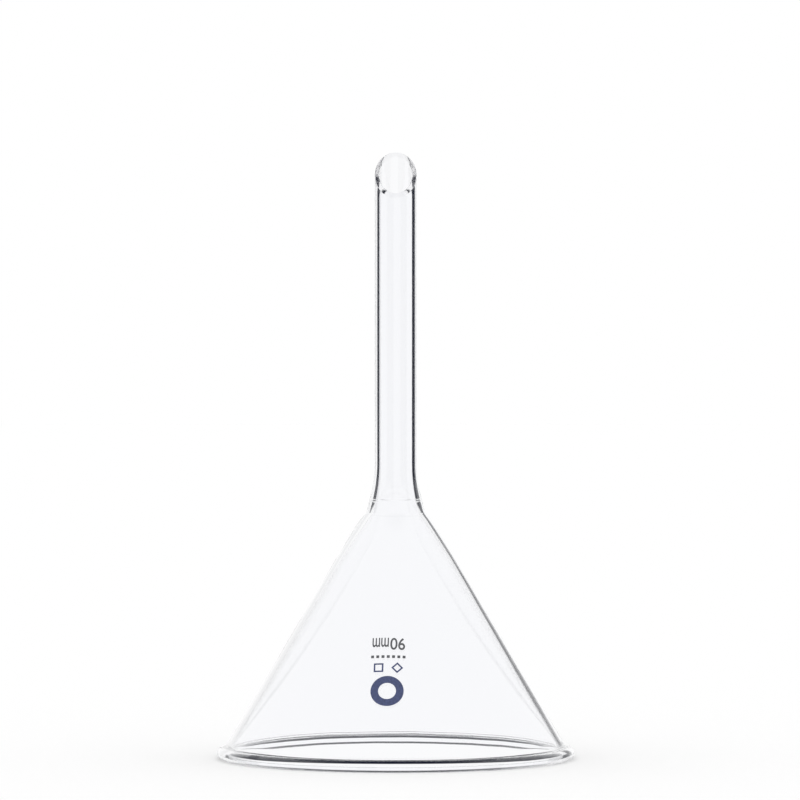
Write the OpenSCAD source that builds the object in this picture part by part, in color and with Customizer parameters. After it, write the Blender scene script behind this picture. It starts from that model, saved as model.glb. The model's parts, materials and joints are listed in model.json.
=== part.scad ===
// Conical glass filter funnel, standing on its rim with the stem up.
// One piece of borosilicate glass: a rolled bead round the mouth, a straight cone that turns in to a
// short neck, the flared root of the stem fused to that neck, and a straight stem ground off at an angle.
// The origin is the centre of the rim's flat, +Z runs up the stem, and the ground tip looks towards -Y.

/* [Mouth] */
// Diameter over the rim bead, the funnel's nominal size
mouth_od = 90; // [60:1:120]
// Diameter of the rolled bead
bead_d = 3; // [2.6:0.1:3.6]
// How far the bead stands out inside the cone
bead_inside = 0.5; // [0.2:0.1:0.6]
// Width of the flat that the hot rim was pressed down on
rim_flat = 0.8; // [0.4:0.1:1.2]
// Radius between the bead and the outside of the cone
bead_fillet = 1.5; // [1:0.25:4]
// Radius between the bead and the inside of the cone
inner_fillet = 0.75; // [0.5:0.25:3]

/* [Cone] */
// Angle between opposite sides of the cone
cone_angle = 61; // [54:1:66]
// Thickness of the cone's wall
cone_wall = 1.2; // [0.9:0.1:1.8]
// How much flatter than the cone the shoulder is where it meets the neck
shoulder_turn = 8; // [4:0.5:10]
// Radius of the shoulder's inside
shoulder_r = 95; // [60:5:120]

/* [Neck] */
// Thickness of the neck's wall
neck_wall = 1.6; // [1.2:0.1:2.2]
// Outside radius of the bend between shoulder and neck
neck_bend_r = 1.25; // [0.5:0.25:3]
// Slope of the neck just above that bend
neck_angle = 16; // [12:1:22]
// Radius of the curve from the neck up into the stem, measured inside
neck_curve_r = 45; // [35:1:60]
// Height of the fused seam above the bend
seam_up = 3; // [2:0.5:5]
// How far the seam's ring stands out from the wall on each side
seam_proud = 0.2; // [0.1:0.05:0.4]

/* [Stem] */
// Outside diameter of the stem
stem_od = 10.5; // [8:0.5:14]
// Thickness of the stem's wall
stem_wall = 1.1; // [0.8:0.1:1.6]
// Length of the stem from the fused seam to the far point of its tip
stem_length = 88; // [50:1:150]
// Angle of the ground tip, measured from square
tip_angle = 49; // [20:1:55]

/* [Hidden] */
$fn = 128;
arc_step = 4;
turn_step = 1.7;
cut_room = 1;

cone_slope = cone_angle / 2;
shoulder_slope = cone_slope + shoulder_turn;
bead_r = bead_d / 2;
stem_r = stem_od / 2;
bore_r = stem_r - stem_wall;

// The bead's flat lies on z = 0. The two faces of the cone pass the bead's middle at these distances,
// and each has a fillet that starts some way up the cone.
bead_at = [mouth_od / 2 - bead_r, sqrt(bead_r * bead_r - rim_flat * rim_flat / 4)];
face_in = bead_r - bead_inside;
face_out = cone_wall - face_in;
inner_up = fillet_up(face_in, inner_fillet);
outer_up = fillet_up(face_out, bead_fillet);
mouth_at = bead_at - face_in * across(cone_slope) + inner_up * along(cone_slope);

// The bends from cone to stem, each as [slope before, slope after, radius inside, wall before, wall after].
shoulder = [cone_slope, shoulder_slope, shoulder_r, cone_wall, neck_wall];
neck_bend = [shoulder_slope, neck_angle, neck_bend_r + neck_wall, neck_wall, neck_wall];
neck_curve = [neck_angle, 0, neck_curve_r, neck_wall, stem_wall];

// The straight cone takes up what the bends leave between the mouth and the bore.
cone_run = mouth_at.x - bore_r - bend_in(shoulder) - bend_in(neck_bend) - bend_in(neck_curve);
shoulder_at = mouth_at + cone_run / sin(cone_slope) * along(cone_slope);
neck_bend_at = bend_end(shoulder, shoulder_at);
neck_curve_at = bend_end(neck_bend, neck_bend_at);

// The seam is where the stem's flared root was fused to the neck, part of the way up the neck's curve.
seam_slope = asin(sin(neck_angle) - seam_up / neck_curve_r);
seam = bend_station(neck_curve, neck_curve_at, seam_slope);
seam_at = seam[0] + seam[2] / 2 * across(seam_slope);
tip_z = seam_at.y + stem_length;

// Slopes are measured from the axis: along() runs up the wall, and across() points out of it.
function along(slope) = [-sin(slope), cos(slope)];
function across(slope) = [cos(slope), sin(slope)];
function polar(angle) = [cos(angle), sin(angle)];
function ease(t) = t * t * (3 - 2 * t);

// How far up the cone a fillet starts that touches the bead and a face of the cone.
function fillet_up(face, r) = sqrt(pow(bead_r + r, 2) - pow(face + r, 2));

// How far a bend comes in towards the axis, how far it climbs, and where it ends.
function bend_in(b) = b[2] * abs(cos(b[0]) - cos(b[1]));
function bend_up(b) = b[2] * abs(sin(b[0]) - sin(b[1]));
function bend_end(b, start) = start + [-bend_in(b), bend_up(b)];

// The wall where a bend has a given slope, as [point on the inside, slope, thickness].
function bend_station(b, start, slope) =
    let (
        side = sign(b[1] - b[0]),
        t = (slope - b[0]) / (b[1] - b[0])
    )
    [start + side * b[2] * (across(slope) - across(b[0])), slope, b[3] + (b[4] - b[3]) * ease(t)];

function bend_stations(b, start) =
    let (steps = ceil(abs(b[1] - b[0]) / turn_step))
    [for (i = [0:steps]) bend_station(b, start, b[0] + (b[1] - b[0]) * i / steps)];

function arc_points(centre, r, from, to) =
    let (steps = ceil(abs(to - from) / arc_step))
    [for (i = [0:steps]) centre + r * polar(from + (to - from) * i / steps)];

// The whole wall from the mouth to the tip.
wall_stations = concat(
    [[mouth_at, cone_slope, cone_wall]],
    bend_stations(shoulder, shoulder_at),
    bend_stations(neck_bend, neck_bend_at),
    bend_stations(neck_curve, neck_curve_at),
    [[[bore_r, tip_z], 0, stem_wall]]
);

// Fillets and bead, from the outside of the cone round the flat and up to the inside.
function rim_points() =
    let (
        outer_at = bead_at + (face_out + bead_fillet) * across(cone_slope) + outer_up * along(cone_slope),
        inner_at = bead_at - (face_in + inner_fillet) * across(cone_slope) + inner_up * along(cone_slope),
        outer_touch = cone_slope + atan2(outer_up, face_out + bead_fillet),
        inner_touch = cone_slope - 180 - atan2(inner_up, face_in + inner_fillet),
        flat_half = asin(rim_flat / bead_d)
    )
    concat(
        arc_points(outer_at, bead_fillet, cone_slope + 180, outer_touch + 180),
        arc_points(bead_at, bead_r, outer_touch, flat_half - 90),
        arc_points(bead_at, bead_r, -90 - flat_half, inner_touch),
        arc_points(inner_at, inner_fillet, inner_touch + 180, cone_slope)
    );

module wall_section() {
    last = len(wall_stations) - 1;
    inside = [for (s = wall_stations) s[0]];
    outside = [for (i = [last:-1:1]) wall_stations[i][0] + wall_stations[i][2] * across(wall_stations[i][1])];
    polygon(concat(inside, outside, rim_points()));
}

// Ring of glass that the fused seam leaves on both faces of the wall.
module seam_section() {
    translate(seam_at)
        circle(r = seam[2] / 2 + seam_proud);
}

// Everything above the ground face, which falls from the back of the stem to its front.
module tip_cut() {
    room = stem_od + 2 * cut_room;
    reach = stem_od / cos(tip_angle) + 2 * cut_room;
    translate([0, stem_r, tip_z])
        rotate([tip_angle, 0, 0])
            translate([-room / 2, cut_room - reach, 0])
                cube([room, reach, stem_od * sin(tip_angle) + cut_room]);
}

module funnel() {
    color([0.9, 0.93, 0.98, 0.45])
        difference() {
            union() {
                rotate_extrude() wall_section();
                rotate_extrude() seam_section();
            }
            tip_cut();
        }
}

funnel();
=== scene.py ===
"""Looks of a conical glass filter funnel that stands on its rim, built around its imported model."""

import json
import math

import bpy
from bpy.props import (
    FloatProperty,
    FloatVectorProperty,
    IntProperty,
    PointerProperty,
    StringProperty,
)
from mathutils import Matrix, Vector


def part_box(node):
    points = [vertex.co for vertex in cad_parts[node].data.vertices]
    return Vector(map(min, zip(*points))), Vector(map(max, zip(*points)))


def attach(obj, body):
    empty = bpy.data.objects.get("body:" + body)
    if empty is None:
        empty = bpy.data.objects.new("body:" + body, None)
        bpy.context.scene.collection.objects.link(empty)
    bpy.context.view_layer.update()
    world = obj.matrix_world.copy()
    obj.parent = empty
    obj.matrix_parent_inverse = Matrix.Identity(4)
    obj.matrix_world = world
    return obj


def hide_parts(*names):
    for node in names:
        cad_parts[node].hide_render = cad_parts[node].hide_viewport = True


bl_info = {
    "name": "Glass Filter Funnel",
    "version": (1, 0, 0),
    "blender": (4, 5, 0),
    "location": "View3D > Sidebar > Funnel",
    "description": "Builds a conical glass filter funnel with its printed marks and a white studio",
    "category": "Add Mesh",
}

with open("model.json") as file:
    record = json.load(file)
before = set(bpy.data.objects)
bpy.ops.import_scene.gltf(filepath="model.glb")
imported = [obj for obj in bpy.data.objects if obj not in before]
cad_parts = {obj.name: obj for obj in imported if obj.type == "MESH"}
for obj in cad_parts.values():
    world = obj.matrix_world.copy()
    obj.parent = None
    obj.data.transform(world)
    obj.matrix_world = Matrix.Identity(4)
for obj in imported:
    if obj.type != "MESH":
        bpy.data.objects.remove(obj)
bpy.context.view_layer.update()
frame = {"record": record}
low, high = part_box("funnel")
mounts = {mount["name"]: mount for mount in frame["record"]["mounts"]}

MM = 0.001
PHOTO_SIZE = 800
SENSOR = 36.0
STEM_R = mounts["stem_outside"]["dims"]["r_mm"] * MM
BORE_R = mounts["stem_bore"]["dims"]["r_mm"] * MM
MOUTH_R = (high.x - low.x) / 2
HEIGHT = high.z - low.z

# How finely the outline is stepped, from the rim's arcs up to the tip.
RIM_STEP = math.radians(6)
CONE_STEPS = 26
SHOULDER_STEPS = 8
BEND_STEPS = 12
ROOT_STEPS = 5
SEAM_STEPS = 20
CURVE_STEPS = 12
STEM_STEPS = 28

# The seam's ring has died away this many spreads from its middle.
SEAM_SPREADS = 3
# The stem is stepped up to this far below the ground face, and drawn this far past the tip.
TIP_ROOM = 2 * MM
CUT_ROOM = 1 * MM
# Where the full turn of the outline closes, points this close together become one.
MERGE = 0.001 * MM
# An edge of the ground face lies this close to it, and its two ends are this alike in radius.
ON_FACE = 0.01 * MM
SAME_RADIUS = 0.02 * MM
# A ring of edges this many roundings below the ground face keeps the stem's shading true.
TIP_BAND = 3

# Share of a slice by which its cuts are shifted, so that none runs along an edge of a mark.
SLICE_SHIFT = 0.37
# How far off the cone a mark is laid before it is pressed on.
PRESS_ROOM = 0.1 * MM
# Share of a block's width by which its corners are cut.
BLOCK_CORNER = 0.12
RING_STEPS = 96

# How many times light turns inside the glass on each kind of path, as (least, most).
TURNED = (1, 2)
MIRRORED = (1, 5)
TRAPPED = (3, 9)
GUIDED = (51, 114)
PATH_FACTS = ("Is Glossy Ray", "Diffuse Depth", "Transmission Depth", "Glossy Depth")
# Half the width over which the panels' edges, the tops of the gaps and all higher edges fade.
PANEL_FADE = math.radians(2)
GAP_FADE = 0.04
TOP_FADE = 0.06


class FunnelGlassSizes(bpy.types.PropertyGroup):
    """Sizes of the glass."""

    mouth_r: FloatProperty(
        name="Mouth Radius", description="Radius over the rim bead",
        default=MOUTH_R, min=0.02, max=0.08, unit="LENGTH")
    height: FloatProperty(
        name="Height", description="From the rim's flat to the far point of the tip",
        default=HEIGHT, min=0.08, max=0.3, unit="LENGTH")
    bead_r: FloatProperty(
        name="Bead Radius", description="Radius of the rolled bead round the mouth",
        default=1.5 * MM, min=0.0005, max=0.003, unit="LENGTH")
    bead_inside: FloatProperty(
        name="Bead Inside", description="How far the bead stands out inside the cone",
        default=0.5 * MM, min=0, max=0.001, unit="LENGTH")
    rim_flat: FloatProperty(
        name="Rim Flat", description="Width of the flat that the funnel stands on",
        default=0.8 * MM, min=0.0001, max=0.002, unit="LENGTH")
    bead_fillet: FloatProperty(
        name="Bead Fillet", description="Radius between the bead and the outside of the cone",
        default=1.5 * MM, min=0.0005, max=0.006, unit="LENGTH")
    inner_fillet: FloatProperty(
        name="Inner Fillet", description="Radius between the bead and the inside of the cone",
        default=0.75 * MM, min=0.0002, max=0.006, unit="LENGTH")
    cone_angle: FloatProperty(
        name="Cone Angle", description="Angle between opposite sides of the cone",
        default=math.radians(61), min=0.7, max=1.4, subtype="ANGLE")
    cone_wall: FloatProperty(
        name="Cone Wall", description="Thickness of the cone",
        default=1.2 * MM, min=0.0005, max=0.003, unit="LENGTH")
    shoulder_turn: FloatProperty(
        name="Shoulder Turn", description="How much flatter the shoulder is than the cone",
        default=math.radians(8), min=0.01, max=0.3, subtype="ANGLE")
    shoulder_r: FloatProperty(
        name="Shoulder Radius", description="Radius of the shoulder's inside",
        default=95 * MM, min=0.02, max=0.2, unit="LENGTH")
    neck_wall: FloatProperty(
        name="Neck Wall", description="Thickness of the neck",
        default=1.6 * MM, min=0.0005, max=0.003, unit="LENGTH")
    neck_bend_r: FloatProperty(
        name="Neck Bend", description="Outside radius of the bend between shoulder and neck",
        default=1.25 * MM, min=0.0003, max=0.005, unit="LENGTH")
    neck_angle: FloatProperty(
        name="Neck Angle", description="Slope of the neck just above that bend",
        default=math.radians(16), min=0.05, max=0.6, subtype="ANGLE")
    neck_curve_r: FloatProperty(
        name="Neck Curve", description="Radius of the curve from the neck up into the stem",
        default=45 * MM, min=0.02, max=0.1, unit="LENGTH")
    seam_up: FloatProperty(
        name="Seam Height", description="Height of the fused seam above the neck's bend",
        default=3 * MM, min=0.001, max=0.008, unit="LENGTH")
    seam_proud: FloatProperty(
        name="Seam Proud", description="How far the seam's ring stands out on each face",
        default=0.08 * MM, min=0, max=0.0006, unit="LENGTH")
    seam_spread: FloatProperty(
        name="Seam Spread", description="Half the width over which the seam's ring rises",
        default=0.2 * MM, min=0.0001, max=0.002, unit="LENGTH")
    stem_r: FloatProperty(
        name="Stem Radius", description="Outside radius of the stem",
        default=STEM_R, min=0.002, max=0.012, unit="LENGTH")
    bore_r: FloatProperty(
        name="Bore Radius", description="Radius of the stem's bore",
        default=BORE_R, min=0.001, max=0.01, unit="LENGTH")
    tip_angle: FloatProperty(
        name="Tip Angle", description="Angle of the ground tip, measured from square",
        default=math.radians(49), min=0, max=1.1, subtype="ANGLE")
    tip_round: FloatProperty(
        name="Tip Rounding", description="How far the fire rounded the edges of the ground tip",
        default=0.3 * MM, min=0.00005, max=0.0005, unit="LENGTH")
    wave: FloatProperty(
        name="Unevenness", description="How far the hand-worked glass departs from true",
        default=0.016 * MM, min=0, max=0.0005, unit="LENGTH")
    wave_size: FloatProperty(
        name="Wave Size", description="Distance over which the unevenness changes",
        default=14 * MM, min=0.002, max=0.1, unit="LENGTH")
    turns: IntProperty(
        name="Steps Round", description="Number of faces round the axis",
        default=256, min=24, max=512)
    tint: FloatVectorProperty(
        name="Tint", description="Colour of the glass seen face on",
        default=(0.975, 0.978, 0.99), min=0, max=1, subtype="COLOR")
    ior: FloatProperty(
        name="IOR", description="Refractive index of borosilicate glass",
        default=1.473, min=1, max=2)
    ripple: FloatProperty(
        name="Ripple", description="Strength of the fine mottle of the surface",
        default=0.03, min=0, max=1)
    ripple_depth: FloatProperty(
        name="Ripple Depth", description="Height of the fine mottle",
        default=0.1 * MM, min=0, max=0.001, unit="LENGTH")
    ripple_scale: FloatProperty(
        name="Ripple Scale", description="How many ripples of the mottle lie on a metre",
        default=120, min=1, max=5000)


class FunnelPrintSizes(bpy.types.PropertyGroup):
    """Sizes and colours of the marks fired on to the cone."""

    side: FloatProperty(
        name="Side", description="How far the marks are turned from the front of the cone",
        default=math.radians(-3.6), min=-3.15, max=3.15, subtype="ANGLE")
    digits: StringProperty(
        name="Digits", description="The funnel's size in millimetres", default="90")
    digit_w: FloatProperty(
        name="Digit Width", description="Width of the digits of the size mark",
        default=3.7 * MM, min=0.001, max=0.01, unit="LENGTH")
    digit_h: FloatProperty(
        name="Digit Height", description="Height of the digits of the size mark",
        default=3.3 * MM, min=0.001, max=0.01, unit="LENGTH")
    unit: StringProperty(
        name="Unit", description="The unit of the size", default="mm")
    unit_w: FloatProperty(
        name="Unit Width", description="Width of the letters of the size mark",
        default=4.1 * MM, min=0.001, max=0.01, unit="LENGTH")
    unit_h: FloatProperty(
        name="Unit Height", description="Height of the letters of the size mark",
        default=2.55 * MM, min=0.001, max=0.01, unit="LENGTH")
    unit_gap: FloatProperty(
        name="Unit Gap", description="Gap between the digits and the letters",
        default=0.35 * MM, min=0, max=0.005, unit="LENGTH")
    text_z: FloatProperty(
        name="Size Mark Height", description="Height of the size mark above the rim",
        default=30.25 * MM, min=0, max=0.06, unit="LENGTH")
    stroke: FloatProperty(
        name="Stroke Weight", description="How much each stroke is thickened, in ems",
        default=0.012, min=0, max=0.05)
    row_z: FloatProperty(
        name="Row Height", description="Height of the row of small blocks above the rim",
        default=27.2 * MM, min=0, max=0.06, unit="LENGTH")
    blocks: IntProperty(
        name="Blocks", description="Number of blocks in the row", default=7, min=1, max=15)
    block_w: FloatProperty(
        name="Block Width", description="Width of each block",
        default=0.75 * MM, min=0.0001, max=0.005, unit="LENGTH")
    pitch: FloatProperty(
        name="Block Pitch", description="Distance from block to block",
        default=1.3 * MM, min=0.0001, max=0.005, unit="LENGTH")
    pair_z: FloatProperty(
        name="Pair Height", description="Height of the square and the diamond above the rim",
        default=24.6 * MM, min=0, max=0.06, unit="LENGTH")
    pair_side: FloatProperty(
        name="Pair Side", description="How far to each side the square and the diamond stand",
        default=2.3 * MM, min=0, max=0.01, unit="LENGTH")
    square_w: FloatProperty(
        name="Square Width", description="Width of the square over its line",
        default=2.4 * MM, min=0.0005, max=0.008, unit="LENGTH")
    diamond_w: FloatProperty(
        name="Diamond Side", description="Side of the diamond over its line",
        default=2.1 * MM, min=0.0005, max=0.008, unit="LENGTH")
    line_w: FloatProperty(
        name="Line Width", description="Width of the line of the square and the diamond",
        default=0.4 * MM, min=0.0001, max=0.002, unit="LENGTH")
    sign_z: FloatProperty(
        name="Sign Height", description="Height of the ring sign above the rim",
        default=19.1 * MM, min=0, max=0.06, unit="LENGTH")
    ring_r: FloatProperty(
        name="Ring Radius", description="Outer radius of the ring sign",
        default=4.1 * MM, min=0.001, max=0.01, unit="LENGTH")
    ring_hole: FloatProperty(
        name="Ring Hole", description="Radius of the hole in the ring sign",
        default=2.2 * MM, min=0.0005, max=0.009, unit="LENGTH")
    ink_t: FloatProperty(
        name="Ink Thickness", description="Thickness of the fired ink",
        default=0.02 * MM, min=0.000005, max=0.0001, unit="LENGTH")
    ink_gap: FloatProperty(
        name="Ink Gap", description="Gap that keeps the ink clear of the glass's faces",
        default=0.008 * MM, min=0, max=0.0001, unit="LENGTH")
    slice_w: FloatProperty(
        name="Slice Width", description="Width of the strips that let a mark bend round the cone",
        default=0.5 * MM, min=0.0001, max=0.002, unit="LENGTH")
    grey: FloatVectorProperty(
        name="Grey Ink", description="Colour of the size mark and the small blocks",
        default=(0.09, 0.092, 0.1), min=0, max=1, subtype="COLOR")
    slate: FloatVectorProperty(
        name="Slate Ink", description="Colour of the ring sign and the pair of small marks",
        default=(0.05, 0.066, 0.16), min=0, max=1, subtype="COLOR")


class FunnelStageSizes(bpy.types.PropertyGroup):
    """Camera, floor and light."""

    camera_y: FloatProperty(
        name="Camera Distance", description="Distance from the camera to the funnel's axis",
        default=1.082, min=0.3, max=5, unit="LENGTH")
    camera_z: FloatProperty(
        name="Camera Height", description="Height of the level camera above the floor",
        default=90.1 * MM, min=0, max=1, unit="LENGTH")
    camera_x: FloatProperty(
        name="Camera Side", description="How far the camera stands to the side of the axis",
        default=1.08 * MM, min=-0.1, max=0.1, unit="LENGTH")
    scale_px: FloatProperty(
        name="Picture Scale", description="Pixels of the picture for each millimetre at the axis",
        default=3.972, min=0.5, max=20)
    floor_w: FloatProperty(
        name="Floor Width", description="Width of the floor",
        default=30.0, min=1, max=100, unit="LENGTH")
    floor_colour: FloatVectorProperty(
        name="Floor Colour", description="Colour of the floor",
        default=(0.8, 0.8, 0.8), min=0, max=1, subtype="COLOR")
    floor_fill: FloatProperty(
        name="Floor Fill", description="Light that the floor gives off, which softens its shadows",
        default=0.2, min=0, max=1)
    window_left: FloatProperty(
        name="Window Left", description="Left edge of the bright panels, from the way they face",
        default=math.radians(-31), min=-0.78, max=0, subtype="ANGLE")
    window_right: FloatProperty(
        name="Window Right", description="Right edge of the bright panels, from the way they face",
        default=math.radians(14), min=0, max=0.78, subtype="ANGLE")
    white_level: FloatProperty(
        name="White Level", description="Brightness of the studio as it is seen through the glass",
        default=0.985, min=0.5, max=2)
    # Also the colour of the painted shade on the floor.
    shade: FloatVectorProperty(
        name="Shade", description="Colour of the dark cards and ceiling",
        default=(0.011, 0.014, 0.026), min=0, max=1, subtype="COLOR")
    ceiling: FloatProperty(
        name="Dark Ceiling", description="Elevation above which the studio is dark",
        default=math.radians(22), min=0, max=1.57, subtype="ANGLE")
    ceiling_end: FloatProperty(
        name="Dark Ceiling End", description="Elevation above which the studio is bright again",
        default=math.radians(54), min=0, max=1.57, subtype="ANGLE")
    zenith: FloatProperty(
        name="Dark Zenith", description="Elevation above which what glances off the glass is dark",
        default=math.radians(68), min=0, max=1.57, subtype="ANGLE")
    gap_top: FloatProperty(
        name="Gap Top", description="Elevation up to which the dark gaps between the panels reach",
        default=math.radians(8), min=0, max=1.57, subtype="ANGLE")
    card_right: FloatProperty(
        name="Card Right", description="Far edge of the tall black card at the right of a panel",
        default=math.radians(26), min=0, max=0.78, subtype="ANGLE")
    card_top: FloatProperty(
        name="Card Top", description="Elevation up to which the tall black cards reach",
        default=math.radians(24), min=0, max=1.57, subtype="ANGLE")
    left_card: FloatProperty(
        name="Left Card", description="How dark the card at the left of a panel is",
        default=0.15, min=0, max=1)
    side_card_in: FloatProperty(
        name="Side Card In", description="Share of the depth at which the side cards end",
        default=0.57, min=0, max=1)
    side_card_out: FloatProperty(
        name="Side Card Out", description="Share of the depth at which the side cards begin",
        default=0.26, min=0, max=1)
    near_floor: FloatProperty(
        name="Near Floor", description="Distance from the axis within which the floor has no gaps",
        default=150 * MM, min=0, max=1, unit="LENGTH")
    # Painted shade: the rings below are dark rings painted on the floor round the rim, seen only
    # through the glass.
    shade_in: FloatProperty(
        name="Shade Inside", description="Inner radius of the shade under the near rim",
        default=38.3 * MM, min=0, max=0.1, unit="LENGTH")
    shade_turn: FloatProperty(
        name="Shade Turn", description="Radius past which only light turned in the rim is shaded",
        default=43.2 * MM, min=0, max=0.1, unit="LENGTH")
    shade_out: FloatProperty(
        name="Shade Outside", description="Outer radius of the shade under the near rim",
        default=48 * MM, min=0, max=0.1, unit="LENGTH")
    far_shade_in: FloatProperty(
        name="Far Shade Inside", description="Inner radius of the shade behind the far rim",
        default=47.5 * MM, min=0, max=0.1, unit="LENGTH")
    far_shade_out: FloatProperty(
        name="Far Shade Outside", description="Outer radius of the shade behind the far rim",
        default=57.2 * MM, min=0, max=0.1, unit="LENGTH")
    near_reach: FloatProperty(
        name="Near Reach", description="How close the floor is where the near shade is seen",
        default=7 * MM, min=0, max=0.2, unit="LENGTH")
    far_reach: FloatProperty(
        name="Far Reach", description="How close the floor is where the far shade is seen",
        default=14 * MM, min=0, max=0.2, unit="LENGTH")


# Slopes are measured from the axis: along() runs up the wall, and across() points out of it.
def along(slope):
    return Vector((-math.sin(slope), 0, math.cos(slope)))


def across(slope):
    return Vector((math.cos(slope), 0, math.sin(slope)))


def ease(share):
    return share * share * (3 - 2 * share)


def steps_between(first, last, count):
    return [first + (last - first) * step / count for step in range(count + 1)]


def arc_points(centre, radius, first, last):
    """Points on a circle in the XZ plane, at angles from the X axis."""
    count = math.ceil(abs(last - first) / RIM_STEP)
    return [centre + radius * across(angle) for angle in steps_between(first, last, count)]


class Bend:
    """A bend of the wall from one slope to another, about a centre, with a wall that changes."""

    def __init__(self, before, after, radius, wall_before, wall_after):
        self.before = before
        self.after = after
        self.radius = radius
        self.walls = (wall_before, wall_after)
        self.start = Vector()

    def inside(self, slope):
        side = math.copysign(1, self.after - self.before)
        return self.start + side * self.radius * (across(slope) - across(self.before))

    def reach(self):
        """How far the bend comes in towards the axis."""
        return (self.start - self.inside(self.after)).x

    def station(self, slope):
        share = (slope - self.before) / (self.after - self.before)
        wall = self.walls[0] + (self.walls[1] - self.walls[0]) * ease(share)
        return self.inside(slope), slope, wall

    def stations(self, count):
        return [self.station(slope) for slope in steps_between(self.before, self.after, count)]


def bead_middle(sizes):
    return Vector((
        sizes.mouth_r - sizes.bead_r, 0,
        math.sqrt(sizes.bead_r ** 2 - sizes.rim_flat ** 2 / 4)))


def face_offsets(sizes):
    """How far from the bead's middle the cone's inner face and its outer face pass."""
    face_in = sizes.bead_r - sizes.bead_inside
    return face_in, sizes.cone_wall - face_in


def fillet_up(sizes, face, radius):
    """How far up the cone a fillet starts that touches the bead and a face of the cone."""
    return math.sqrt((sizes.bead_r + radius) ** 2 - (face + radius) ** 2)


def place_bends(sizes):
    """Where the straight cone starts, and the bends that follow it, each at its place."""
    slope = sizes.cone_angle / 2
    flatter = slope + sizes.shoulder_turn
    bend_r = sizes.neck_bend_r + sizes.neck_wall
    stem_wall = sizes.stem_r - sizes.bore_r
    shoulder = Bend(slope, flatter, sizes.shoulder_r, sizes.cone_wall, sizes.neck_wall)
    neck_bend = Bend(flatter, sizes.neck_angle, bend_r, sizes.neck_wall, sizes.neck_wall)
    neck_curve = Bend(sizes.neck_angle, 0, sizes.neck_curve_r, sizes.neck_wall, stem_wall)
    bends = (shoulder, neck_bend, neck_curve)

    face_in, _ = face_offsets(sizes)
    inner_up = fillet_up(sizes, face_in, sizes.inner_fillet)
    mouth_at = bead_middle(sizes) - face_in * across(slope) + inner_up * along(slope)
    cone_run = mouth_at.x - sizes.bore_r - sum(bend.reach() for bend in bends)
    shoulder.start = mouth_at + cone_run / math.sin(slope) * along(slope)
    for lower, upper in zip(bends, bends[1:]):
        upper.start = lower.inside(lower.after)
    return mouth_at, bends


def seam_stations(sizes, curve):
    """The neck's curve, with the seam's ring standing out on both faces."""
    middle = math.asin(math.sin(sizes.neck_angle) - sizes.seam_up / sizes.neck_curve_r)
    half = SEAM_SPREADS * sizes.seam_spread / sizes.neck_curve_r
    slopes = (
        steps_between(sizes.neck_angle, middle + half, ROOT_STEPS)[1:]
        + steps_between(middle + half, middle - half, SEAM_STEPS)[1:]
        + steps_between(middle - half, 0, CURVE_STEPS)[1:]
    )
    stations = []
    for slope in slopes:
        point, _, wall = curve.station(slope)
        away = (slope - middle) * sizes.neck_curve_r / sizes.seam_spread
        proud = sizes.seam_proud * math.exp(-away * away)
        stations.append((point - proud * across(slope), slope, wall + 2 * proud))
    return stations


def wall_stations(sizes):
    """The wall from the mouth to above the tip, each as (inside point, slope, thickness)."""
    mouth_at, (shoulder, neck_bend, neck_curve) = place_bends(sizes)
    stations = [
        (mouth_at.lerp(shoulder.start, step / CONE_STEPS), shoulder.before, sizes.cone_wall)
        for step in range(CONE_STEPS)
    ]
    stations += shoulder.stations(SHOULDER_STEPS) + neck_bend.stations(BEND_STEPS)[1:]
    stations += seam_stations(sizes, neck_curve)
    straight_z = stations[-1][0].z
    tip_fall = 2 * sizes.stem_r * math.tan(sizes.tip_angle)
    heights = steps_between(straight_z, sizes.height - tip_fall - TIP_ROOM, STEM_STEPS)[1:]
    for z in heights + [sizes.height + CUT_ROOM]:
        stations.append((Vector((sizes.bore_r, 0, z)), 0, sizes.stem_r - sizes.bore_r))
    return stations


def rim_points(sizes):
    """Fillets and bead, from the outside of the cone round the flat and up to the inside."""
    slope = sizes.cone_angle / 2
    half = math.pi
    quarter = math.pi / 2
    bead_at = bead_middle(sizes)
    face_in, face_out = face_offsets(sizes)
    inner_off = face_in + sizes.inner_fillet
    outer_off = face_out + sizes.bead_fillet
    inner_up = fillet_up(sizes, face_in, sizes.inner_fillet)
    outer_up = fillet_up(sizes, face_out, sizes.bead_fillet)
    inner_at = bead_at - inner_off * across(slope) + inner_up * along(slope)
    outer_at = bead_at + outer_off * across(slope) + outer_up * along(slope)
    outer_touch = slope + math.atan2(outer_up, outer_off)
    inner_touch = slope - half - math.atan2(inner_up, inner_off)
    flat_half = math.asin(sizes.rim_flat / (2 * sizes.bead_r))
    outer = arc_points(outer_at, sizes.bead_fillet, slope + half, outer_touch + half)
    front = arc_points(bead_at, sizes.bead_r, outer_touch, flat_half - quarter)
    back = arc_points(bead_at, sizes.bead_r, -quarter - flat_half, inner_touch)
    inner = arc_points(inner_at, sizes.inner_fillet, inner_touch + half, slope)
    return outer + front[1:] + back + inner[1:-1]


def cone_radius(sizes, z):
    """Distance from the axis to the outside of the cone at a height."""
    slope = sizes.cone_angle / 2
    face = bead_middle(sizes) + face_offsets(sizes)[1] * across(slope)
    return face.x - (z - face.z) * math.tan(slope)


def start_fresh():
    """Leaves edit mode and deselects everything, the CAD nodes too."""
    if bpy.context.object and bpy.context.object.mode != "OBJECT":
        bpy.ops.object.mode_set(mode="OBJECT")
    bpy.ops.object.select_all(action="DESELECT")


def pick(*pieces):
    """Selects these pieces alone, with the first one active."""
    start_fresh()
    for piece in pieces:
        piece.select_set(True)
    bpy.context.view_layer.objects.active = pieces[0]


def settle(piece):
    """Moves a piece's place into its mesh."""
    pick(piece)
    bpy.ops.object.transform_apply(location=True, rotation=True, scale=True)


def apply_modifier(piece, modifier):
    pick(piece)
    bpy.ops.object.modifier_apply(modifier=modifier.name)


def join(pieces):
    pick(*pieces)
    bpy.ops.object.join()
    return bpy.context.object


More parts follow.
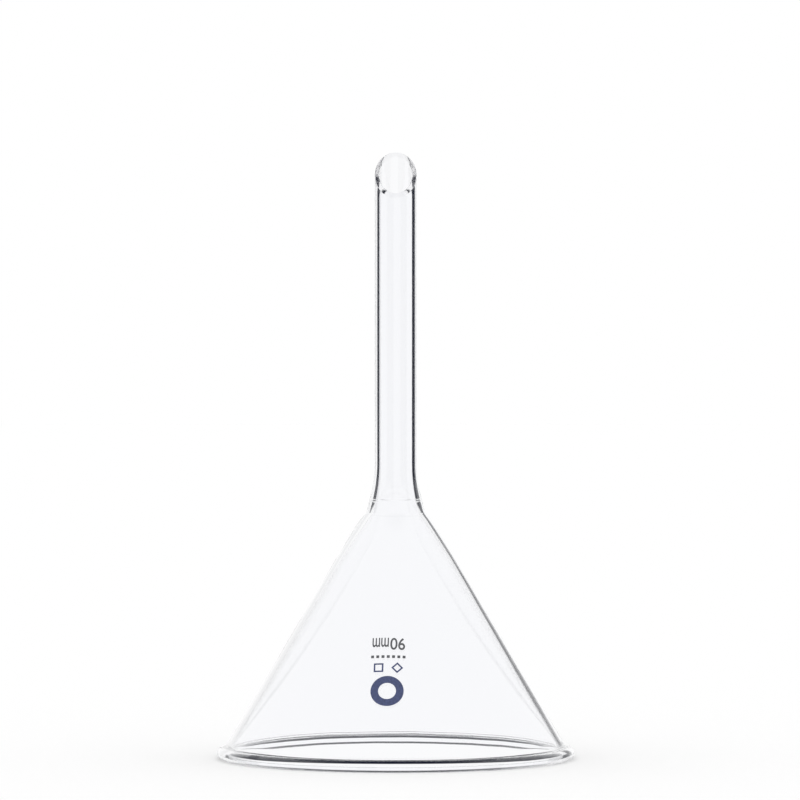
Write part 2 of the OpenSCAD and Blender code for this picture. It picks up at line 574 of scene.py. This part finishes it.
def edit_all():
    """Enters edit mode with the whole mesh selected."""
    bpy.ops.object.mode_set(mode="EDIT")
    bpy.ops.mesh.select_all(action="SELECT")


def stop_editing():
    bpy.ops.object.mode_set(mode="OBJECT")


def face_outwards():
    """Points all faces of the mesh in edit mode outwards, and leaves edit mode."""
    bpy.ops.mesh.select_all(action="SELECT")
    bpy.ops.mesh.normals_make_consistent(inside=False)
    stop_editing()


def add_plane(size, location, turn=0):
    start_fresh()
    bpy.ops.mesh.primitive_plane_add(size=size, location=location, rotation=(0, 0, turn))
    return bpy.context.object


def draw_outline(points):
    """One point, extruded along the outline."""
    outline = add_plane(1 * MM, points[0])
    edit_all()
    bpy.ops.mesh.select_mode(type="VERT")
    bpy.ops.mesh.merge(type="CENTER")
    for here, there in zip(points, points[1:]):
        bpy.ops.mesh.extrude_region_move(TRANSFORM_OT_translate={"value": there - here})
    stop_editing()
    return outline


def set_socket(tree, socket, value):
    """Gives a socket a plain value, or links it to another."""
    if isinstance(value, bpy.types.NodeSocket):
        tree.links.new(value, socket)
    else:
        socket.default_value = value


def feed(tree, node, values):
    """Sets a node's sockets by name."""
    for name, value in values.items():
        set_socket(tree, node.inputs[name], value)


def add_node(tree, kind, values):
    node = tree.nodes.new(kind)
    feed(tree, node, values)
    return node.outputs


def vector_node(tree, operation, values):
    """A Vector Math node."""
    node = tree.nodes.new("ShaderNodeVectorMath")
    node.operation = operation
    feed(tree, node, values)
    return node.outputs


def new_material(name):
    """A material with its node tree and its shader."""
    material = bpy.data.materials.new(name)
    material.use_nodes = True
    return material, material.node_tree, material.node_tree.nodes["Principled BSDF"]


def start_group(name, sockets):
    """A new node group with inputs named as {name: kind}."""
    group = bpy.data.node_groups.new(name, "ShaderNodeTree")
    for socket, kind in sockets.items():
        group.interface.new_socket(socket, in_out="INPUT", socket_type="NodeSocket" + kind)
    return group, group.nodes.new("NodeGroupInput").outputs


def finish_group(group, results, kind="Float"):
    """Gives a node group an output for each result."""
    for name in results:
        group.interface.new_socket(name, in_out="OUTPUT", socket_type="NodeSocket" + kind)
    feed(group, group.nodes.new("NodeGroupOutput"), results)
    return group


def place_group(tree, group, values):
    """Places a node group in a tree, with its own values."""
    node = tree.nodes.new("ShaderNodeGroup")
    node.node_tree = group
    feed(tree, node, values)
    return node.outputs


def make_glass_material(name, sizes):
    """Clear glass with the faint mottle of hand-worked tube."""
    material, tree, shader = new_material(name)
    place = add_node(tree, "ShaderNodeTexCoord", {})
    ripple = add_node(tree, "ShaderNodeTexNoise", {
        "Vector": place["Object"],
        "Scale": sizes.ripple_scale,
        "Detail": 2,
    })
    bump = add_node(tree, "ShaderNodeBump", {
        "Height": ripple["Fac"],
        "Strength": sizes.ripple,
        "Distance": sizes.ripple_depth,
    })
    feed(tree, shader, {
        "Base Color": (*sizes.tint, 1),
        "Roughness": 0,
        "IOR": sizes.ior,
        "Transmission Weight": 1,
        "Normal": bump["Normal"],
    })
    return material


class FUNNEL_OT_glass(bpy.types.Operator):
    """Spin the glass from its outline, grind the tip at a slant and round its edges"""

    bl_idname = "mesh.funnel_glass"
    bl_label = "Glass"

    def execute(self, context):
        sizes = context.scene.funnel_glass
        stations = wall_stations(sizes)
        inside = [point for point, slope, wall in stations]
        outside = [point + wall * across(slope) for point, slope, wall in reversed(stations[1:])]
        glass = draw_outline(outside + rim_points(sizes) + inside)
        glass.name = "funnel_glass"
        glass.data.name = glass.name
        self.spin_outline(glass, sizes)
        self.grind_tip(glass, sizes)
        self.make_uneven(glass, sizes)
        pick(glass)
        bpy.ops.object.shade_smooth()
        glass.data.materials.append(make_glass_material("clear glass", sizes))
        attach(glass, "root")
        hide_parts("funnel")
        return {"FINISHED"}

    def spin_outline(self, glass, sizes):
        settle(glass)
        edit_all()
        bpy.ops.mesh.spin(
            steps=sizes.turns, angle=2 * math.pi, center=(0, 0, 0), axis=(0, 0, 1))
        bpy.ops.mesh.select_all(action="SELECT")
        bpy.ops.mesh.remove_doubles(threshold=MERGE)
        face_outwards()

    def grind_tip(self, glass, sizes):
        """Cuts the stem at a slant, closes the cut wall and rounds both its edges."""
        fall = Vector((0, -math.sin(sizes.tip_angle), math.cos(sizes.tip_angle)))
        far_point = Vector((0, sizes.stem_r, sizes.height))
        below = far_point - TIP_BAND * sizes.tip_round * fall
        edit_all()
        bpy.ops.mesh.bisect(plane_co=far_point, plane_no=fall, clear_outer=True)
        bpy.ops.mesh.select_all(action="SELECT")
        bpy.ops.mesh.bisect(plane_co=below, plane_no=fall)
        bpy.ops.mesh.select_all(action="DESELECT")
        bpy.ops.mesh.select_mode(type="EDGE")
        bpy.ops.mesh.select_non_manifold()
        bpy.ops.mesh.bridge_edge_loops()
        stop_editing()
        for edge in glass.data.edges:
            ends = [glass.data.vertices[index].co for index in edge.vertices]
            on_face = all(abs((end - far_point).dot(fall)) < ON_FACE for end in ends)
            radii = [math.hypot(end.x, end.y) for end in ends]
            edge.select = on_face and abs(radii[0] - radii[1]) < SAME_RADIUS
        bpy.ops.object.mode_set(mode="EDIT")
        bpy.ops.mesh.bevel(offset=sizes.tip_round, segments=4, profile=0.5, clamp_overlap=True)
        face_outwards()

    def make_uneven(self, glass, sizes):
        """Pushes the glass in and out a little, as hand work leaves it."""
        texture = bpy.data.textures.new("glass waves", type="CLOUDS")
        texture.noise_scale = sizes.wave_size
        texture.noise_depth = 1
        wave = glass.modifiers.new("Waves", "DISPLACE")
        wave.texture = texture
        wave.texture_coords = "LOCAL"
        wave.strength = sizes.wave
        apply_modifier(glass, wave)


def lettering(body, stroke, left, foot, width, height):
    """Flat characters fitted to a width and a height, from their lower left corner."""
    start_fresh()
    bpy.ops.object.text_add(location=(0, 0, 0))
    bpy.context.object.data.body = body
    bpy.context.object.data.offset = stroke
    bpy.context.object.data.resolution_u = 6
    bpy.ops.object.convert(target="MESH")
    text = bpy.context.object
    text.scale = (width / text.dimensions.x, height / text.dimensions.y, 1)
    settle(text)
    low_x = min(vertex.co.x for vertex in text.data.vertices)
    low_y = min(vertex.co.y for vertex in text.data.vertices)
    text.location = (left - low_x, foot - low_y, 0)
    settle(text)
    return text


def block(width, x):
    """A flat square block with cut corners."""
    square = add_plane(width, (x, 0, 0))
    edit_all()
    bpy.ops.mesh.bevel(offset=BLOCK_CORNER * width, segments=2, affect="VERTICES")
    stop_editing()
    settle(square)
    return square


def square_outline(width, line, x, turn):
    """A flat square outline, turned about its middle."""
    square = add_plane(width, (x, 0, 0), turn)
    edit_all()
    bpy.ops.mesh.select_mode(type="FACE")
    bpy.ops.mesh.inset(thickness=line)
    bpy.ops.mesh.delete(type="FACE")
    bpy.ops.mesh.select_mode(type="VERT")
    stop_editing()
    settle(square)
    return square


def ring(radius, hole):
    """A flat ring."""
    start_fresh()
    bpy.ops.mesh.primitive_circle_add(vertices=RING_STEPS, radius=radius)
    flat = bpy.context.object
    edit_all()
    bpy.ops.mesh.extrude_edges_move()
    share = hole / radius
    bpy.ops.transform.resize(value=(share, share, 1))
    stop_editing()
    return flat


def fire_on(context, mark, name, z, material):
    """Bends a flat mark on to the cone at a height, upside down, and gives the ink its thickness."""
    glass_sizes = context.scene.funnel_glass
    sizes = context.scene.funnel_print
    slope = glass_sizes.cone_angle / 2
    settle(mark)
    half_w = max(abs(vertex.co.x) for vertex in mark.data.vertices)
    count = math.ceil(half_w / sizes.slice_w)
    edit_all()
    bpy.ops.transform.resize(value=(-1, -1, 1), center_override=(0, 0, 0))
    for step in range(-count, count + 1):
        cut_x = (step + SLICE_SHIFT) * sizes.slice_w
        bpy.ops.mesh.select_all(action="SELECT")
        bpy.ops.mesh.bisect(plane_co=(cut_x, 0, 0), plane_no=(1, 0, 0))
    stop_editing()

    out = Vector((math.sin(sizes.side), -math.cos(sizes.side), 0))
    normal = math.cos(slope) * out + Vector((0, 0, math.sin(slope)))
    on_cone = cone_radius(glass_sizes, z) * out + Vector((0, 0, z))
    mark.location = on_cone + PRESS_ROOM * normal
    mark.rotation_euler = (math.pi / 2 - slope, 0, sizes.side)
    settle(mark)
    press = mark.modifiers.new("Press", "SHRINKWRAP")
    press.target = bpy.data.objects["funnel_glass"]
    press.wrap_method = "NEAREST_SURFACEPOINT"
    press.wrap_mode = "ABOVE_SURFACE"
    press.offset = sizes.ink_gap
    apply_modifier(mark, press)
    thick = mark.modifiers.new("Thickness", "SOLIDIFY")
    thick.thickness = sizes.ink_t
    thick.offset = 1
    apply_modifier(mark, thick)
    bpy.ops.object.mode_set(mode="EDIT")
    face_outwards()

    mark.name = name
    mark.data.name = name
    mark.data.materials.clear()
    mark.data.materials.append(material)
    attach(mark, "root")


def ink_grain():
    """Node group that gives an ink its fine grain, made the first time it is asked for."""
    made = bpy.data.node_groups.get("ink grain")
    if made:
        return made
    group, given = start_group(
        "ink grain", {"Ink": "Color", "Scale": "Float", "Darkest": "Float", "Lightest": "Float"})
    place = add_node(group, "ShaderNodeTexCoord", {})
    grain = add_node(group, "ShaderNodeTexNoise", {
        "Vector": place["Object"],
        "Scale": given["Scale"],
        "Detail": 3,
    })
    level = add_node(group, "ShaderNodeMapRange", {
        "Value": grain["Fac"],
        "From Min": 0.3,
        "From Max": 0.7,
        "To Min": given["Darkest"],
        "To Max": given["Lightest"],
    })
    shade = vector_node(group, "SCALE", {"Vector": given["Ink"], "Scale": level["Result"]})
    return finish_group(group, {"Colour": shade["Vector"]}, "Color")


def make_ink(name, colour):
    """Fired ink, a little thin and uneven."""
    material, tree, shader = new_material(name)
    grain = place_group(tree, ink_grain(), {
        "Ink": (*colour, 1),
        "Scale": 2500,
        "Darkest": 0.75,
        "Lightest": 1.35,
    })
    feed(tree, shader, {"Base Color": grain["Colour"], "Roughness": 0.45})
    return material


class FUNNEL_OT_size_mark(bpy.types.Operator):
    """Fire the size mark on to the cone"""

    bl_idname = "mesh.funnel_size_mark"
    bl_label = "Size Mark"

    def execute(self, context):
        sizes = context.scene.funnel_print
        left = -(sizes.digit_w + sizes.unit_gap + sizes.unit_w) / 2
        unit_left = left + sizes.digit_w + sizes.unit_gap
        foot = -sizes.digit_h / 2
        digits = lettering(sizes.digits, sizes.stroke, left, foot, sizes.digit_w, sizes.digit_h)
        unit = lettering(sizes.unit, sizes.stroke, unit_left, foot, sizes.unit_w, sizes.unit_h)
        grey = make_ink("grey ink", sizes.grey)
        fire_on(context, join([digits, unit]), "size_mark", sizes.text_z, grey)
        return {"FINISHED"}


class FUNNEL_OT_signs(bpy.types.Operator):
    """Fire the row of blocks, the pair of small marks and the ring on to the cone"""

    bl_idname = "mesh.funnel_signs"
    bl_label = "Signs"

    def execute(self, context):
        sizes = context.scene.funnel_print
        grey = bpy.data.materials["grey ink"]
        slate = make_ink("slate ink", sizes.slate)
        middle = (sizes.blocks - 1) / 2
        row = [block(sizes.block_w, (step - middle) * sizes.pitch) for step in range(sizes.blocks)]
        pair = [
            square_outline(sizes.square_w, sizes.line_w, sizes.pair_side, 0),
            square_outline(sizes.diamond_w, sizes.line_w, -sizes.pair_side, math.pi / 4),
        ]
        fire_on(context, join(row), "block_row", sizes.row_z, grey)
        fire_on(context, join(pair), "mark_pair", sizes.pair_z, slate)
        fire_on(context, ring(sizes.ring_r, sizes.ring_hole), "ring_sign", sizes.sign_z, slate)
        return {"FINISHED"}


def math_node(tree, operation, *values):
    """A Math node fed by sockets or plain numbers."""
    node = tree.nodes.new("ShaderNodeMath")
    node.operation = operation
    for socket, value in zip(node.inputs, values):
        set_socket(tree, socket, value)
    return node.outputs[0]


def product(tree, first, *others):
    for other in others:
        first = math_node(tree, "MULTIPLY", first, other)
    return first


def darkest(tree, first, *others):
    for other in others:
        first = math_node(tree, "MAXIMUM", first, other)
    return first


def opposite(tree, mask):
    return math_node(tree, "SUBTRACT", 1, mask)


def between(tree, value, low, high):
    """1 where a value lies between two limits."""
    above = math_node(tree, "GREATER_THAN", value, low)
    below = math_node(tree, "LESS_THAN", value, high)
    return product(tree, above, below)


def at_most(tree, count, most):
    """1 where a whole number is no more than a limit."""
    return math_node(tree, "LESS_THAN", count, most + 0.5)


def counted(tree, count, limits):
    """1 where a whole number lies within its least and most."""
    least, most = limits
    return between(tree, count, least - 0.5, most + 0.5)


def soft_step(tree, value, edge, fade):
    """0 below the edge, 1 above it."""
    node = tree.nodes.new("ShaderNodeMapRange")
    node.interpolation_type = "SMOOTHSTEP"
    feed(tree, node, {"Value": value, "From Min": edge - fade, "From Max": edge + fade})
    return node.outputs["Result"]


def soft_between(tree, value, low, high, fade):
    """1 where a value lies between two limits, with soft ends."""
    after_low = soft_step(tree, value, low, fade)
    after_high = soft_step(tree, value, high, fade)
    return math_node(tree, "SUBTRACT", after_low, after_high)


def make_path_group():
    """Node group that sorts sight lines by walls crossed and by turns inside the glass."""
    group, given = start_group("sight paths", {name: "Float" for name in PATH_FACTS})
    turns = given["Glossy Depth"]
    unscattered = at_most(group, given["Diffuse Depth"], 0)
    bent = product(group, given["Is Glossy Ray"], unscattered)
    outside = at_most(group, given["Transmission Depth"], 0)
    passed = product(group, bent, opposite(group, outside))
    through_one = at_most(group, given["Transmission Depth"], 2)
    one_wall = product(group, passed, through_one)
    more_walls = product(group, passed, opposite(group, through_one))
    trapped = product(group, more_walls, counted(group, turns, TRAPPED))
    guided = product(group, one_wall, counted(group, turns, GUIDED))
    return finish_group(group, {
        "Passed": passed,
        "Glanced": product(group, bent, outside),
        "One Wall": one_wall,
        "More Walls": more_walls,
        "Straight": at_most(group, turns, 0),
        "Turned": counted(group, turns, TURNED),
        "Few Turns": at_most(group, turns, TURNED[1]),
        "Mirrored": product(group, one_wall, counted(group, turns, MIRRORED)),
        "Caught": darkest(group, trapped, guided),
    })


def make_side_group(sizes):
    """Node group that says where a direction points: its rise, its angle from the middle of the
    nearest of the four panels, and masks for the panels and for the two side cards."""
    group, given = start_group("studio sides", {"Direction": "Vector"})
    parts = add_node(group, "ShaderNodeSeparateXYZ", {"Vector": given["Direction"]})
    azimuth = math_node(group, "ARCTAN2", parts["X"], parts["Y"])
    quarter = math.pi / 2
    turn = math_node(group, "WRAP", azimuth, quarter / 2, -quarter / 2)
    unit = vector_node(group, "NORMALIZE", {"Vector": given["Direction"]})
    depth = add_node(group, "ShaderNodeSeparateXYZ", {"Vector": unit["Vector"]})["Y"]
    return finish_group(group, {
        "Rise": parts["Z"],
        "Turn": turn,
        "Panel": soft_between(group, turn, sizes.window_left, sizes.window_right, PANEL_FADE),
        "Side Cards": between(group, depth, sizes.side_card_out, sizes.side_card_in),
    })


def place_paths(tree):
    """The Light Path of a tree, and its masks."""
    facts = add_node(tree, "ShaderNodeLightPath", {})
    group = bpy.data.node_groups["sight paths"]
    return facts, place_group(tree, group, {name: facts[name] for name in PATH_FACTS})


def shaded_white(tree, dark, shade):
    """White where the mask is 0, and the shade's colour where it is 1."""
    ramp = tree.nodes.new("ShaderNodeValToRGB")
    ramp.color_ramp.elements[0].color = (1, 1, 1, 1)
    ramp.color_ramp.elements[1].color = (*shade, 1)
    feed(tree, ramp, {"Fac": dark})
    return ramp.outputs["Color"]


def make_world(sizes):
    """White all round. Light that came through the glass meets a dark ceiling, dark gaps between
    the bright panels and a tall black card at each side of a panel, and light that glanced off the
    glass meets a dark zenith and two side cards."""
    world = bpy.data.worlds.new("studio")
    bpy.context.scene.world = world
    world.use_nodes = True
    tree = world.node_tree
    place = add_node(tree, "ShaderNodeTexCoord", {})
    sides = place_group(
        tree, bpy.data.node_groups["studio sides"], {"Direction": place["Generated"]})
    _, paths = place_paths(tree)
    turn = sides["Turn"]
    rise = sides["Rise"]
    height = math_node(tree, "ABSOLUTE", rise)

    near_level = opposite(tree, soft_step(tree, height, math.sin(sizes.gap_top), GAP_FADE))
    gap = product(tree, opposite(tree, sides["Panel"]), near_level)
    right = soft_between(tree, turn, sizes.window_right, sizes.card_right, PANEL_FADE)
    left = soft_between(tree, turn, -sizes.card_right, -sizes.window_right, PANEL_FADE)
    under_top = opposite(tree, soft_step(tree, height, math.sin(sizes.card_top), TOP_FADE))
    cards = darkest(tree, right, product(tree, left, sizes.left_card))
    dark_sides = product(
        tree, paths["Mirrored"], darkest(tree, gap, product(tree, cards, under_top)))

    band = soft_between(
        tree, rise, math.sin(sizes.ceiling), math.sin(sizes.ceiling_end), TOP_FADE)
    dark_band = product(tree, paths["More Walls"], paths["Straight"], band)
    zenith = soft_step(tree, rise, math.sin(sizes.zenith), TOP_FADE)
    side_cards = product(tree, sides["Side Cards"], near_level)
    dark_glance = product(tree, paths["Glanced"], darkest(tree, zenith, side_cards))

    dark = darkest(tree, dark_sides, dark_band, dark_glance, paths["Caught"])
    level = math_node(tree, "MULTIPLY_ADD", paths["Passed"], sizes.white_level - 1, 1)
    feed(tree, tree.nodes["Background"], {
        "Strength": level,
        "Color": shaded_white(tree, dark, sizes.shade),
    })


def floor_shade(tree, sizes, spot, facts, paths):
    """Masks of the painted shade that light which came through the glass, or glanced off it, meets
    on the floor:
    all of that painted shade, and the part of it that was glanced."""
    sides = place_group(tree, bpy.data.node_groups["studio sides"], {"Direction": spot})
    distance = vector_node(tree, "LENGTH", {"Vector": spot})["Value"]
    far = math_node(tree, "GREATER_THAN", distance, sizes.near_floor)
    # Painted shade: far off, the floor is painted dark where the panels' gaps and the side cards
    # lie, for light that turned inside the glass or glanced off it.
    dark_gap = product(tree, paths["Mirrored"], opposite(tree, sides["Panel"]), far)
    dark_glance = product(tree, paths["Glanced"], sides["Side Cards"], far)

    # Painted shade under the near rim and behind the far rim: dark rings on the floor, seen only
    # where the glass looks at the floor close by.
    close = math_node(tree, "LESS_THAN", facts["Ray Length"], sizes.near_reach)
    inner_ring = between(tree, distance, sizes.shade_in, sizes.shade_turn)
    outer_ring = between(tree, distance, sizes.shade_turn, sizes.shade_out)
    straight_down = product(tree, paths["Straight"], inner_ring)
    turned_out = product(tree, paths["Turned"], outer_ring)
    near_shade = product(tree, paths["One Wall"], close, darkest(tree, straight_down, turned_out))

    quite_close = math_node(tree, "LESS_THAN", facts["Ray Length"], sizes.far_reach)
    far_ring = between(tree, distance, sizes.far_shade_in, sizes.far_shade_out)
    far_shade = product(tree, paths["More Walls"], paths["Few Turns"], quite_close, far_ring)
    dark = darkest(tree, dark_gap, dark_glance, near_shade, far_shade, paths["Caught"])
    return dark, dark_glance


def make_floor(sizes):
    """A pale floor. Seen through the glass, it has painted shade: the panels' gaps and dark rings
    round the rim.
    """
    floor = add_plane(sizes.floor_w, (0, 0, 0))
    floor.name = "floor"
    material, tree, shader = new_material("pale floor")
    feed(tree, shader, {
        "Base Color": (*sizes.floor_colour, 1),
        "Roughness": 1,
        "Specular IOR Level": 0,
    })
    place = add_node(tree, "ShaderNodeTexCoord", {})
    facts, paths = place_paths(tree)
    dark, dark_glance = floor_shade(tree, sizes, place["Object"], facts, paths)
    fill = add_node(tree, "ShaderNodeEmission", {"Strength": sizes.floor_fill})
    glow = add_node(tree, "ShaderNodeEmission", {
        "Strength": sizes.white_level,
        "Color": shaded_white(tree, dark, sizes.shade),
    })
    lit = tree.nodes.new("ShaderNodeAddShader")
    tree.links.new(shader.outputs[0], lit.inputs[0])
    tree.links.new(fill[0], lit.inputs[1])
    either = tree.nodes.new("ShaderNodeMixShader")
    feed(tree, either, {"Fac": darkest(tree, paths["Passed"], dark_glance)})
    tree.links.new(lit.outputs[0], either.inputs[1])
    tree.links.new(glow[0], either.inputs[2])
    feed(tree, tree.nodes["Material Output"], {"Surface": either.outputs[0]})
    floor.data.materials.append(material)


def make_camera(sizes):
    start_fresh()
    bpy.ops.object.camera_add(
        location=(sizes.camera_x, -sizes.camera_y, sizes.camera_z),
        rotation=(math.pi / 2, 0, 0))
    camera = bpy.context.object
    camera.name = "camera"
    camera.data.sensor_width = SENSOR
    camera.data.lens = sizes.scale_px * (sizes.camera_y / MM) * SENSOR / PHOTO_SIZE
    camera.data.clip_start = 0.01
    camera.data.clip_end = 100
    bpy.context.scene.camera = camera


class FUNNEL_OT_stage(bpy.types.Operator):
    """Set up the pale floor, the white studio and the level camera"""

    bl_idname = "scene.funnel_stage"
    bl_label = "Stage"

    def execute(self, context):
        sizes = context.scene.funnel_stage
        make_path_group()
        make_side_group(sizes)
        make_world(sizes)
        make_floor(sizes)
        make_camera(sizes)
        context.scene.view_settings.view_transform = "Standard"
        context.scene.cycles.max_bounces = 256
        context.scene.cycles.glossy_bounces = 256
        context.scene.cycles.transmission_bounces = 64
        return {"FINISHED"}


class FUNNEL_PT_panel(bpy.types.Panel):
    """The funnel's pieces, in the order in which they are made"""

    bl_label = "Filter Funnel"
    bl_idname = "FUNNEL_PT_panel"
    bl_space_type = "VIEW_3D"
    bl_region_type = "UI"
    bl_category = "Funnel"

    def draw(self, context):
        column = self.layout.column()
        for operator in (
            FUNNEL_OT_glass, FUNNEL_OT_size_mark, FUNNEL_OT_signs, FUNNEL_OT_stage,
        ):
            column.operator(operator.bl_idname)
        for group in (
            context.scene.funnel_glass, context.scene.funnel_print, context.scene.funnel_stage,
        ):
            box = self.layout.box()
            for name in group.__annotations__:
                box.prop(group, name)


CLASSES = (
    FunnelGlassSizes,
    FunnelPrintSizes,
    FunnelStageSizes,
    FUNNEL_OT_glass,
    FUNNEL_OT_size_mark,
    FUNNEL_OT_signs,
    FUNNEL_OT_stage,
    FUNNEL_PT_panel,
)


def register():
    for cls in CLASSES:
        bpy.utils.register_class(cls)
    bpy.types.Scene.funnel_glass = PointerProperty(type=FunnelGlassSizes)
    bpy.types.Scene.funnel_print = PointerProperty(type=FunnelPrintSizes)
    bpy.types.Scene.funnel_stage = PointerProperty(type=FunnelStageSizes)


def unregister():
    del bpy.types.Scene.funnel_stage
    del bpy.types.Scene.funnel_print
    del bpy.types.Scene.funnel_glass
    for cls in reversed(CLASSES):
        bpy.utils.unregister_class(cls)


def main():
    register()
    bpy.ops.mesh.funnel_glass()
    bpy.ops.mesh.funnel_size_mark()
    bpy.ops.mesh.funnel_signs()
    bpy.ops.scene.funnel_stage()


if __name__ == "__main__":
    main()
